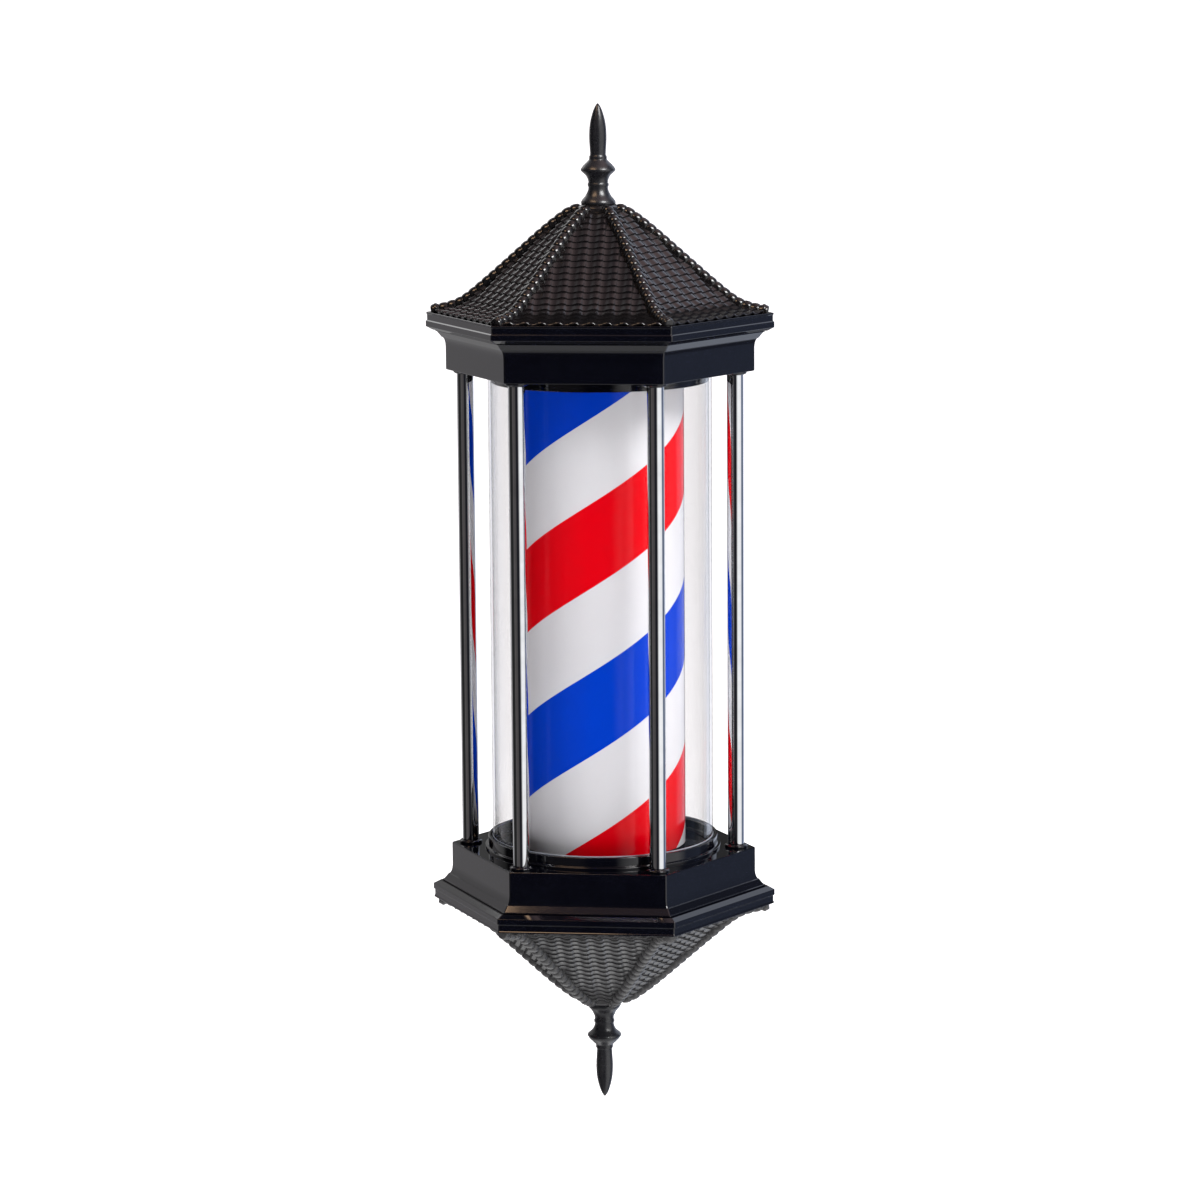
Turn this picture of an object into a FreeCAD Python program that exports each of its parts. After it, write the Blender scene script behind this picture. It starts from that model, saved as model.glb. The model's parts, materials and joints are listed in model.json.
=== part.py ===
import FreeCAD, Part
import math
import os
import re

import Sketcher
from FreeCAD import Placement, Rotation, Vector

# Barber pole light: a striped drum that turns inside a clear tube, between two hexagonal housings
# with tiled roofs. Millimetres. +Z is up and +Y points into the wall. The origin is the centre of
# the four wall holes, in the plane of the wall. The pole's own axis is vertical, wall_gap in front
# of the wall. Every sub-part is drawn about that axis and then moved to it.

# Driving dimensions: alias, value, meaning. Levels are heights above the middle of the pole, and
# the lower half mirrors the upper one.
DIMENSIONS = (
    ("wall_gap", 116.0, "pole axis to wall"),
    ("tip_level", 362.2, "tip of a finial"),
    ("deck_level", 173.0, "face of a casing that the tube stands against"),
    ("deck_thick", 4.0, "casing deck"),
    ("casing_radius", 111.0, "casing, centre to corner"),
    ("casing_wall", 4.0, "casing wall, measured at a corner"),
    ("cove_level", 190.0, "where the casing's cove starts"),
    ("cove_mid_level", 195.0, "middle of the cove"),
    ("cove_mid_radius", 112.7, "cove at its middle, centre to corner"),
    ("cove_top_level", 198.5, "end of the cove"),
    ("cove_top_radius", 115.0, "cove at its end, centre to corner"),
    ("flange_level", 199.5, "underside of the casing flange"),
    ("flange_radius", 118.5, "casing flange, centre to corner"),
    ("seam_level", 201.5, "seam between casing and roof"),
    ("rim_foot_radius", 120.5, "roof rim at the seam, centre to corner"),
    ("rim_radius", 125.3, "roof rim, centre to corner"),
    ("rim_low_level", 204.0, "top of the rim's lower chamfer"),
    ("rim_step_level", 208.3, "step in the rim"),
    ("rim_upper_radius", 124.0, "rim above its step, centre to corner"),
    ("rim_top_level", 214.3, "top of the rim"),
    ("rim_hollow_radius", 113.0, "hollow inside the rim, centre to corner"),
    ("roof_skin", 3.0, "roof thickness, measured upright"),
    ("boss_radius", 14.0, "boss under a finial"),
    ("boss_level", 291.0, "top of that boss"),
    ("boss_foot_level", 276.0, "foot of that boss inside the roof"),
    ("finial_radius", 12.4, "finial at its widest"),
    ("finial_bore_depth", 14.0, "threaded hole in a finial"),
    ("stud_radius", 3.0, "stud that holds a roof and its finial"),
    ("stud_foot_level", 195.5, "inner end of a stud"),
    ("bridge_thick", 2.0, "bridge strip"),
    ("bridge_width", 24.0, "bridge strip"),
    ("bridge_half_length", 96.0, "bridge strip, front to middle"),
    ("nut_thick", 5.0, "finial nut"),
    ("nut_radius", 5.8, "finial nut, centre to corner"),
    ("rod_circle", 97.0, "pole axis to rod axis"),
    ("rod_radius", 6.0, "chromed rod"),
    ("rod_bore", 3.5, "bore of a rod"),
    ("rod_end_radius", 5.0, "threaded end of a rod"),
    ("rod_end_level", 182.0, "end of a rod inside the casing"),
    ("rod_flange_radius", 8.25, "flange at the end of a rod"),
    ("rod_flange_thick", 2.5, "flange at the end of a rod"),
    ("rod_nut_radius", 8.0, "rod nut, centre to corner"),
    ("rod_nut_thick", 4.0, "rod nut"),
    ("tube_radius", 80.0, "clear tube, outside"),
    ("tube_wall", 2.0, "clear tube"),
    ("gasket_thick", 1.5, "gasket under each end of the tube"),
    ("gasket_width", 2.2, "gasket"),
    ("collar_bore", 80.3, "collar round the foot of the tube"),
    ("collar_radius", 83.3, "collar, outside"),
    ("collar_level", 164.3, "top of the collar, below the middle"),
    ("ring_radius", 77.7, "ring inside the head of the tube"),
    ("ring_bore", 74.7, "that ring's bore"),
    ("ring_level", 165.3, "that ring's lower edge"),
    ("drum_radius", 60.0, "striped drum"),
    ("drum_wall", 1.5, "striped drum"),
    ("drum_foot", 170.0, "foot of the drum, below the middle"),
    ("drum_head", 168.0, "head of the drum"),
    ("drum_cap_thick", 3.0, "drum caps"),
    ("cap_rim_width", 7.0, "rim of the drum's top cap"),
    ("cap_spoke_width", 10.0, "spokes of the drum's top cap"),
    ("cap_level", 158.0, "underside of the drum's top cap"),
    ("cap_hub_radius", 17.0, "hub of the drum's top cap"),
    ("bush_radius", 14.0, "steady bush, outside"),
    ("bush_bore", 11.05, "steady bush, running on the stem"),
    ("bush_foot", 155.0, "underside of the steady bush"),
    ("bush_head", 165.0, "top of the steady bush"),
    ("hub_flange_radius", 18.0, "drum hub flange"),
    ("hub_radius", 9.0, "drum hub"),
    ("hub_head", 150.0, "top of the drum hub, below the middle"),
    ("shaft_radius", 3.5, "motor shaft"),
    ("shaft_bore", 3.55, "bores that the shaft turns in"),
    ("shaft_foot", 187.0, "lower end of the shaft, below the middle"),
    ("shaft_head", 151.0, "upper end of the shaft, below the middle"),
    ("bearing_radius", 6.0, "lower bearing"),
    ("bearing_flange_radius", 9.0, "lower bearing flange"),
    ("bearing_flange_thick", 1.5, "lower bearing flange"),
    ("pad_thick", 2.0, "rubber pad over the motor"),
    ("motor_radius", 25.0, "geared motor"),
    ("motor_height", 14.0, "geared motor"),
    ("motor_bore_depth", 9.0, "shaft hole in the motor"),
    ("ear_thick", 2.0, "motor ears"),
    ("ear_reach", 32.0, "pole axis to motor screw"),
    ("ear_radius", 6.0, "round end of a motor ear"),
    ("stem_radius", 11.0, "lamp stem"),
    ("stem_bore", 8.0, "lamp stem"),
    ("stem_foot", 118.0, "lower end of the lamp stem"),
    ("stem_flange_radius", 21.0, "lamp stem flange"),
    ("stem_flange_thick", 3.0, "lamp stem flange"),
    ("stem_screw_circle", 16.0, "pole axis to stem screw"),
    ("screw_radius", 1.5, "small screws"),
    ("screw_head_radius", 2.8, "small screws"),
    ("screw_head_thick", 2.0, "small screws"),
    ("holder_radius", 20.0, "lamp holder"),
    ("holder_neck_radius", 14.0, "lamp holder neck"),
    ("holder_head", 124.0, "top of the lamp holder"),
    ("holder_shoulder", 116.0, "shoulder of the lamp holder"),
    ("holder_roof", 104.0, "inner end of the lamp holder's cup"),
    ("holder_foot", 74.0, "mouth of the lamp holder"),
    ("holder_cup_radius", 13.6, "lamp holder's cup"),
    ("bulb_cap_radius", 13.2, "bulb's screw cap"),
    ("bulb_cap_head", 101.0, "inner end of the bulb's cap"),
    ("bulb_body_level", 73.0, "top of the bulb's body"),
    ("bulb_body_foot", 38.0, "seam between the bulb's body and its globe"),
    ("bulb_radius", 30.0, "bulb at its widest"),
    ("bulb_foot", -14.0, "end of the bulb's globe"),
    ("lead_radius", 2.0, "lamp lead"),
    ("lead_bend", 9.0, "bends of the lamp lead"),
    ("lead_end", 112.0, "end of the lead in the lamp holder"),
    ("lead_high", 190.5, "lead above the upper deck"),
    ("lead_low", 191.0, "lead below the lower deck, below the middle"),
    ("block_near", 36.0, "terminal block, near side to pole axis"),
    ("block_far", 60.0, "terminal block, far side to pole axis"),
    ("block_width", 16.0, "terminal block"),
    ("block_height", 18.0, "terminal block"),
    ("bracket_low", 176.5, "lower edge of the upper wall bracket"),
    ("bracket_high", 189.5, "upper edge of the upper wall bracket"),
    ("bracket_thick", 2.5, "wall bracket strip"),
    ("bracket_crown", 26.0, "half the width of a bracket's crown"),
    ("bracket_half_width", 50.0, "half the width of a bracket"),
    ("wall_hole_radius", 3.0, "holes for the wall screws"),
    ("wall_hole_offset", 40.0, "middle of the pole to wall hole, sideways"),
    ("bolt_radius", 2.5, "bracket screws"),
    ("bolt_offset", 14.0, "middle of the pole to bracket screw"),
    ("bolt_head_radius", 4.5, "bracket screws"),
    ("bolt_head_thick", 3.0, "bracket screws"),
    ("bolt_nut_radius", 4.6, "bracket nuts, centre to corner"),
    ("bolt_nut_thick", 4.0, "bracket nuts"),
    ("grommet_bore", 3.0, "cable grommet"),
    ("grommet_neck", 4.5, "cable grommet in the wall"),
    ("grommet_flange", 6.2, "cable grommet flanges"),
    ("grommet_flange_thick", 2.0, "cable grommet flanges"),
    ("inlet_level", 183.5, "cable inlet, below the middle"),
    ("switch_level", 182.0, "switches, below the middle"),
    ("switch_offset", 13.0, "middle of the face to a switch"),
    ("switch_length", 13.4, "switch body"),
    ("switch_height", 8.4, "switch body"),
    ("switch_depth", 15.0, "switch body behind its bezel"),
    ("bezel_margin", 1.0, "bezel beyond the switch body"),
    ("bezel_thick", 1.6, "switch bezel"),
    ("rocker_length", 11.0, "rocker"),
    ("rocker_height", 6.4, "rocker"),
    ("rocker_rise", 2.2, "rocker's raised ends above the bezel"),
    ("rocker_gap", 0.6, "gap round a rocker"),
    ("rocker_pin", 1.0, "radius of a rocker's pivot pin"),
    ("rocker_pin_reach", 0.7, "pivot pin beyond each side of its rocker"),
    ("pin_gap", 0.05, "gap between a pivot pin and its holes"),
    ("pocket_depth", 6.0, "pocket of a switch behind its bezel's face"),
    ("pivot_depth", 1.5, "rocker pivot behind the bezel's face"),
    ("hip_eave", 118.5, "roof at its eaves, centre to corner"),
    ("level_eave", 214.3, "roof at its eaves"),
    ("hip_flare", 106.0, "roof at its flare, centre to corner"),
    ("level_flare", 217.8, "roof at its flare"),
    ("hip_lower", 94.5, "lower roof, centre to corner"),
    ("level_lower", 223.3, "lower roof"),
    ("hip_middle", 76.0, "middle of the roof, centre to corner"),
    ("level_middle", 238.3, "middle of the roof"),
    ("hip_upper", 40.0, "upper roof, centre to corner"),
    ("level_upper", 269.8, "upper roof"),
    ("hip_neck", 24.5, "roof near its top, centre to corner"),
    ("level_neck", 281.0, "roof near its top"),
    ("hip_crown", 14.5, "roof at the boss, centre to corner"),
    ("level_crown", 286.0, "roof at the boss"),
)

# Names for lengths that follow from those above.
DERIVED = {
    "casing_face": "(casing_radius * cos(30))",
    "wall_inside": "((casing_radius - casing_wall) * cos(30))",
    "deck_back": "(deck_level + deck_thick)",
    "drum_inner": "(drum_radius - drum_wall)",
    "bracket_middle": "((bracket_low + bracket_high) / 2)",
}

# The roof's hips: the eaves flare, the middle is steep and the top rounds over.
HIP_PARTS = ("eave", "flare", "lower", "middle", "upper", "neck", "crown")
HALVES = ("upper", "lower")
SIDES = 6
RODS = {"rod_left": 180, "rod_front_left": 240, "rod_front_right": 300, "rod_right": 0}
SWITCH_FACE = 30
INLET_FACE = 150
SWITCH_OFFSETS = ("switch_offset", "-switch_offset")
ROCKER_TILT = 10  # a rocker's ends stand this many degrees up or down from level

doc = FreeCAD.newDocument("BarberPoleLight")
sheet = doc.addObject("Spreadsheet::Sheet", "Dims")
for row, (alias, value, meaning) in enumerate(DIMENSIONS, start=1):
    sheet.set(f"A{row}", meaning)
    sheet.set(f"B{row}", str(value))
    sheet.setAlias(f"B{row}", alias)
VALUES = {alias: value for alias, value, _ in DIMENSIONS}
doc.recompute()

PLACES = {"x": "Placement.Base.x", "y": "Placement.Base.y", "z": "Placement.Base.z"}
nodes = []


# ---------------------------------------------------------------------------------- helpers


def bound(text):
    """An expression over the sheet, from one that names aliases and derived lengths."""
    text = re.sub(r"[a-z_]+", lambda m: DERIVED.get(m[0], m[0]), text)
    return re.sub(r"[a-z_]+", lambda m: "Dims." + m[0] if m[0] in VALUES else m[0], text)


def value_of(text):
    """The number that such an expression has now."""
    result = sheet.evalExpression(bound(text))
    return float(getattr(result, "Value", result))


def bind(item, **sizes):
    """Ties an object's properties, or its place x, y and z, to expressions over the sheet."""
    for name, text in sizes.items():
        item.setExpression(PLACES.get(name, name), bound(text))
    return item


def turned_place(angle, across, along, level):
    """The x, y and z of a point that is across and along the axes turned by angle degrees."""
    x = f"({across}) * cos({angle}) - ({along}) * sin({angle})"
    y = f"({across}) * sin({angle}) + ({along}) * cos({angle})"
    return {"x": x, "y": y, "z": level}


def span(half, low, high):
    """Two levels of the upper half, or of its mirror image in the lower half, lowest first."""
    return (low, high) if half == "upper" else (f"-({high})", f"-({low})")


def mirrored(half, level):
    return level if half == "upper" else f"-({level})"


def cylinder(radius, low, high, x="0", y="0"):
    item = doc.addObject("Part::Cylinder", "Cylinder")
    return bind(item, Radius=radius, Height=f"({high}) - ({low})", x=x, y=y, z=low)


def prism(radius, low, high, x="0", y="0"):
    """A hexagonal prism with corners at both ends of X."""
    item = doc.addObject("Part::Prism", "Prism")
    item.Polygon = SIDES
    return bind(item, Circumradius=radius, Height=f"({high}) - ({low})", x=x, y=y, z=low)


def box(x_low, x_high, y_low, y_high, low, high, angle=0):
    """A box between coordinates, turned about the pole's axis by angle degrees."""
    item = doc.addObject("Part::Box", "Box")
    item.Placement = Placement(Vector(), Rotation(Vector(0, 0, 1), angle))
    bind(item, Length=f"({x_high}) - ({x_low})", Width=f"({y_high}) - ({y_low})")
    return bind(item, Height=f"({high}) - ({low})", **turned_place(angle, x_low, y_low, low))


def side_cylinder(radius, near, far, offset, level, angle, sides=0):
    """A round or hexagonal bar from near to far out from the pole's axis, at angle degrees."""
    item = doc.addObject("Part::Prism" if sides else "Part::Cylinder", "Bar")
    if sides:
        item.Polygon = sides
    item.Placement = Placement(Vector(), Rotation(Vector(0, 0, 1), angle) * Rotation(Vector(0, 1, 0), 90))
    bind(item, Height=f"({far}) - ({near})", **turned_place(angle, near, offset, level))
    return bind(item, **{"Circumradius" if sides else "Radius": radius})


def group(kind, name, items):
    item = doc.addObject(kind, name)
    setattr(item, "Links" if kind == "Part::Compound" else "Shapes", items)
    return item


def fuse(*items):
    return group("Part::MultiFuse", "Fuse", list(items))


def separate(*items):
    """Solids that stay apart, in one object."""
    return group("Part::Compound", "Group", list(items))


def cut(base, *tools):
    item = doc.addObject("Part::Cut", "Cut")
    item.Base = base
    item.Tool = tools[0] if len(tools) == 1 else fuse(*tools)
    return item


def hex_loft(sections):
    """A solid through hexagons, from pairs of a centre-to-corner radius and a level."""
    polygons = []
    for radius, level in sections:
        polygon = doc.addObject("Part::RegularPolygon", "Hexagon")
        polygon.Polygon = SIDES
        polygons.append(bind(polygon, Circumradius=radius, z=level))
    loft = doc.addObject("Part::Loft", "Loft")
    loft.Sections = polygons
    loft.Solid = True
    loft.Ruled = True
    return loft


def origin_plane(body, role):
    return next(f for f in body.Origin.OriginFeatures if f.Role == role)


def arc_through(start, end, bulge):
    """The arc from start to end whose middle stands bulge to the left of its chord."""
    chord = end - start
    left = Vector(-chord.y, chord.x, 0).normalize()
    middle = (start + end) * 0.5 + left * bulge
    return Part.Arc(start, middle, end)


def outline(body, plane, points):
    """A closed sketch through points, each a pair of expressions and, for an arc to the next one,
    its bulge to the left."""
    sketch = body.newObject("Sketcher::SketchObject", "Outline")
    sketch.AttachmentSupport = [(origin_plane(body, plane), "")]
    sketch.MapMode = "FlatFace"
    places = [Vector(value_of(p[0]), value_of(p[1]), 0) for p in points]
    first_end = {}
    last_end = {}
    for i, point in enumerate(points):
        start = places[i]
        end = places[(i + 1) % len(points)]
        first_end[i], last_end[i] = 1, 2
        if len(point) == 2:
            sketch.addGeometry(Part.LineSegment(start, end), False)
            continue
        circle = arc_through(start, end, point[2]).toShape().Curve
        angles = [FreeCAD.Vector(1, 0, 0).getAngle(p - circle.Center) for p in (start, end)]
        angles = [a if (p - circle.Center).y >= 0 else -a for a, p in zip(angles, (start, end))]
        if point[2] > 0:  # it runs clockwise, so the sketch holds it the other way round
            angles.reverse()
            first_end[i], last_end[i] = 2, 1
        plain = Part.Circle(circle.Center, Vector(0, 0, 1), circle.Radius)
        sketch.addGeometry(Part.ArcOfCircle(plain, angles[0], angles[1]), False)
    for i, point in enumerate(points):
        j = (i + 1) % len(points)
        sketch.addConstraint(Sketcher.Constraint("Coincident", i, last_end[i], j, first_end[j]))
        if len(point) == 3:
            radius = sketch.Geometry[i].Radius
            sketch.addConstraint(Sketcher.Constraint("Radius", i, radius))
        for direction, axis, text, number in (
            ("DistanceX", -2, point[0], places[i].x),
            ("DistanceY", -1, point[1], places[i].y),
        ):
            if text == "0":
                sketch.addConstraint(Sketcher.Constraint("PointOnObject", i, first_end[i], axis))
                continue
            index = sketch.addConstraint(Sketcher.Constraint(direction, -1, 1, i, first_end[i], number))
            sketch.setExpression(f"Constraints[{index}]", bound(text))
    return sketch


def revolved(points):
    """A body turned about the pole's axis, from an outline of radius and level."""
    body = doc.addObject("PartDesign::Body", "Turned")
    sketch = outline(body, "XZ_Plane", points)
    feature = body.newObject("PartDesign::Revolution", "Revolution")
    feature.Profile = sketch
    feature.ReferenceAxis = (sketch, ["V_Axis"])
    feature.Angle = 360
    sketch.Visibility = False
    return body


def padded(points, low, high):
    """A body with an outline in plan, from level low to level high."""
    body = doc.addObject("PartDesign::Body", "Padded")
    sketch = outline(body, "XY_Plane", points)
    sketch.setExpression(".AttachmentOffset.Base.z", bound(low))
    feature = body.newObject("PartDesign::Pad", "Pad")
    feature.Profile = sketch
    bind(feature, Length=f"({high}) - ({low})")
    return body


def tube(outer, inner, low, high):
    """A straight ring or tube."""
    return revolved([(inner, low), (outer, low), (outer, high), (inner, high)])


def node(name, item, x="0", y="0", z="0"):
    """Names a finished sub-part and moves it from the pole's axis to its place."""
    item.Label = name
    bind(item, x=x, y=f"{y} - wall_gap", z=z)
    nodes.append(item)


# ---------------------------------------------------------------------- casings and their roofs


def rod_places():
    return [(f"rod_circle * cos({a})", f"rod_circle * sin({a})") for a in RODS.values()]


def casing(half):
    """A hexagonal shell with a deck at the tube's end, open towards its roof."""
    profile = (
        ("casing_radius", "deck_level"),
        ("casing_radius", "cove_level"),
        ("cove_mid_radius", "cove_mid_level"),
        ("cove_top_radius", "cove_top_level"),
        ("flange_radius", "flange_level"),
        ("flange_radius", "seam_level"),
    )
    shell = hex_loft([(radius, mirrored(half, level)) for radius, level in profile])
    hollow = prism("casing_radius - casing_wall", *span(half, "deck_back", "seam_level + 1"))
    holes = [cylinder("rod_end_radius", *span(half, "deck_level - 1", "deck_back + 1"), x, y)
             for x, y in rod_places()]
    for offset in ("bolt_offset", "-bolt_offset"):
        level = mirrored(half, "bracket_middle")
        holes.append(side_cylinder("bolt_radius", "wall_inside - 1", "casing_face + 1", offset, level, 90))
    if half == "upper":
        holes.append(cylinder("stem_radius", "deck_level - 1", "deck_back + 1"))
        holes += stem_screw_shanks()
    else:
        holes.append(cylinder("bearing_radius", "-deck_back - 1", "1 - deck_level"))
        holes += motor_screw_shanks()
        holes.append(side_cylinder("grommet_neck", "wall_inside - 1", "casing_face + 1", "0",
                                   "-inlet_level", INLET_FACE))
        for offset in SWITCH_OFFSETS:
            holes.append(box("wall_inside - 1", "casing_face + 1",
                             f"{offset} - switch_length / 2", f"{offset} + switch_length / 2",
                             "-switch_level - switch_height / 2", "switch_height / 2 - switch_level",
                             SWITCH_FACE))
    node(half + "_casing", cut(shell, hollow, *holes))


def roof(half):
    """A rim with a hollow hexagonal roof over it, and a boss for the stud at its top."""
    rim = (
        ("rim_foot_radius", "seam_level"),
        ("rim_radius", "rim_low_level"),
        ("rim_radius", "rim_step_level"),
        ("rim_upper_radius", "rim_step_level + 0.8"),
        ("rim_upper_radius", "rim_top_level"),
    )
    hips = [("hip_" + part, "level_" + part) for part in HIP_PARTS]
    rim_solid = hex_loft([(radius, mirrored(half, level)) for radius, level in rim])
    skin = hex_loft([(radius, mirrored(half, level)) for radius, level in hips])
    boss = cylinder("boss_radius", *span(half, "boss_foot_level", "boss_level"))
    rim_hollow = prism("rim_hollow_radius", *span(half, "seam_level - 1", "level_eave - roof_skin"))
    hollow_hips = [(radius, f"{level} - roof_skin") for radius, level in hips[1:-1]]
    hollow_hips.insert(0, ("rim_hollow_radius", "level_eave - roof_skin"))
    roof_hollow = hex_loft([(radius, mirrored(half, level)) for radius, level in hollow_hips])
    bore = cylinder("stud_radius", *span(half, "boss_foot_level - 1", "boss_level + 1"))
    shell = cut(fuse(rim_solid, skin), fuse(rim_hollow, roof_hollow))
    node(half + "_roof", cut(fuse(shell, boss), bore))


def finial(half):
    """A turned spire on a threaded stud: a flared foot, a bulb with a sharp waist and a long tip."""
    sign = 1 if half == "upper" else -1
    profile = (
        ("stud_radius", "boss_level"),
        ("finial_radius", "boss_level"),
        ("finial_radius", "boss_level + 1.8", 2.2),
        ("0.57 * finial_radius", "boss_level + 10.6"),
        ("0.57 * finial_radius", "boss_level + 16.7", 1.6),
        ("finial_radius", "boss_level + 23.5"),
        ("finial_radius", "boss_level + 24.8", 0.6),
        ("0.5 * finial_radius", "boss_level + 32"),
        ("0.45 * finial_radius", "boss_level + 36", -0.9),
        ("0.4 * finial_radius", "tip_level - 11"),
        ("0.12 * finial_radius", "tip_level - 1"),
        ("0", "tip_level"),
        ("0", "boss_level + finial_bore_depth"),
        ("stud_radius", "boss_level + finial_bore_depth"),
    )
    points = []
    for point in profile:
        bulge = tuple(b * sign for b in point[2:])
        points.append((point[0], mirrored(half, point[1]), *bulge))
    node("top_finial" if half == "upper" else "bottom_finial", revolved(points))


def bridges_and_studs():
    """A strip across each casing, and the stud and nut that pull the roof and finial onto it."""
    studs = []
    nuts = []
    for half in HALVES:
        levels = span(half, "seam_level", "seam_level + bridge_thick")
        strip = box("-bridge_width / 2", "bridge_width / 2", "-bridge_half_length", "bridge_half_length",
                    *levels)
        node(half + "_bridge", cut(strip, cylinder("stud_radius", f"{levels[0]} - 1", f"{levels[1]} + 1")))
        studs.append(cylinder("stud_radius",
                              *span(half, "stud_foot_level", "boss_level + finial_bore_depth")))
        nut_levels = span(half, "seam_level - nut_thick", "seam_level")
        nuts.append(cut(prism("nut_radius", *nut_levels), cylinder("stud_radius", *nut_levels)))
    node("finial_studs", separate(*studs))
    node("finial_nuts", separate(*nuts))


# ------------------------------------------------------------------------- rods and outer tube


def rods():
    """Four hollow rods, each with a flange and a nut at both ends."""
    shoulder = "deck_level - rod_flange_thick"
    flanges = []
    nuts = []
    for name, angle in RODS.items():
        x, y = f"rod_circle * cos({angle})", f"rod_circle * sin({angle})"
        profile = [
            ("rod_bore", "-rod_end_level"),
            ("rod_end_radius", "-rod_end_level"),
            ("rod_end_radius", f"-({shoulder})"),
            ("rod_radius", f"-({shoulder})"),
            ("rod_radius", shoulder),
            ("rod_end_radius", shoulder),
            ("rod_end_radius", "rod_end_level"),
            ("rod_bore", "rod_end_level"),
        ]
        node(name, revolved(profile), x=x, y=y)
        for half in HALVES:
            levels = span(half, shoulder, "deck_level")
            flanges.append(cut(cylinder("rod_flange_radius", *levels, x, y),
                               cylinder("rod_end_radius", *levels, x, y)))
            levels = span(half, "deck_back", "deck_back + rod_nut_thick")
            nuts.append(cut(prism("rod_nut_radius", *levels, x, y),
                            cylinder("rod_end_radius", *levels, x, y)))
    node("rod_flanges", separate(*flanges))
    node("rod_nuts", separate(*nuts))


def outer_tube():
    """The clear tube, its gaskets, the collar round its foot and the ring inside its head."""
    head = "deck_level - gasket_thick"
    node("outer_tube", tube("tube_radius", "tube_radius - tube_wall", f"-({head})", head))
    gaskets = []
    for half in HALVES:
        levels = span(half, head, "deck_level")
        gaskets.append(cut(cylinder("tube_radius", *levels),
                           cylinder("tube_radius - gasket_width", *levels)))
    node("tube_gaskets", separate(*gaskets))
    node("lower_tube_collar", tube("collar_radius", "collar_bore", "-deck_level", "-collar_level"))
    node("upper_tube_ring", revolved([
        ("ring_bore", "ring_level"),
        ("ring_radius - 0.8", "ring_level"),
        ("ring_radius", "ring_level + 0.8"),
        ("ring_radius", "deck_level - 0.1"),
        ("ring_bore", "deck_level - 0.1"),
    ]))


# ------------------------------------------------------------------------------- turning drum


def hub_screw_shanks():
    return [cylinder("screw_radius", "0.5 - drum_foot", "2 * drum_cap_thick - drum_foot",
                     f"1.5 * hub_radius * cos({a})", f"1.5 * hub_radius * sin({a})")
            for a in range(0, 360, 120)]


def drum():
    """The striped shell with its caps, hub, shaft and steady bush, which all turn together."""
    node("drum_shell", tube("drum_radius", "drum_radius - drum_wall", "-drum_foot", "drum_head"))
    foot = "drum_cap_thick - drum_foot"
    node("drum_bottom_cap",
         cut(cylinder("drum_inner", "-drum_foot", foot),
             cylinder("shaft_radius", "-drum_foot", foot), *hub_screw_shanks()))

    cap_head = "cap_level + drum_cap_thick"
    rim = cut(cylinder("drum_inner", "cap_level", cap_head),
              cylinder("drum_inner - cap_rim_width", "cap_level", cap_head))
    spokes = [box("0", "drum_inner - cap_rim_width / 2", "-cap_spoke_width / 2", "cap_spoke_width / 2",
                  "cap_level", cap_head, a) for a in range(0, 360, 120)]
    hub = cylinder("cap_hub_radius", "bush_foot", "bush_head")
    node("drum_top_cap", cut(fuse(rim, hub, *spokes), cylinder("bush_radius", "bush_foot", "bush_head")))
    node("steady_bush", tube("bush_radius", "bush_bore", "bush_foot", "bush_head"))

    hub_profile = [
        ("shaft_radius", foot),
        ("hub_flange_radius", foot),
        ("hub_flange_radius", f"{foot} + drum_cap_thick"),
        ("hub_radius", f"{foot} + drum_cap_thick"),
        ("hub_radius", "-hub_head"),
        ("shaft_radius", "-hub_head"),
    ]
    node("drum_hub", cut(revolved(hub_profile), *hub_screw_shanks()))
    heads = [cylinder("screw_head_radius", "2 * drum_cap_thick - drum_foot",
                      "2 * drum_cap_thick - drum_foot + screw_head_thick",
                      f"1.5 * hub_radius * cos({a})", f"1.5 * hub_radius * sin({a})")
             for a in range(0, 360, 120)]
    node("hub_screws", separate(*[fuse(s, h) for s, h in zip(hub_screw_shanks(), heads)]))
    node("motor_shaft", revolved([
        ("0", "-shaft_foot"),
        ("shaft_radius", "-shaft_foot"),
        ("shaft_radius", "-shaft_head - 0.5"),
        ("shaft_radius - 0.5", "-shaft_head"),
        ("0", "-shaft_head"),
    ]))


# --------------------------------------------------------------------------------- lower works


def motor_screw_shanks():
    top = "-deck_level - 1.5"
    foot = "-deck_back - pad_thick - ear_thick"
    return [cylinder("bolt_radius - 0.5", foot, top, y=y) for y in ("ear_reach", "-ear_reach")]


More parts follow.
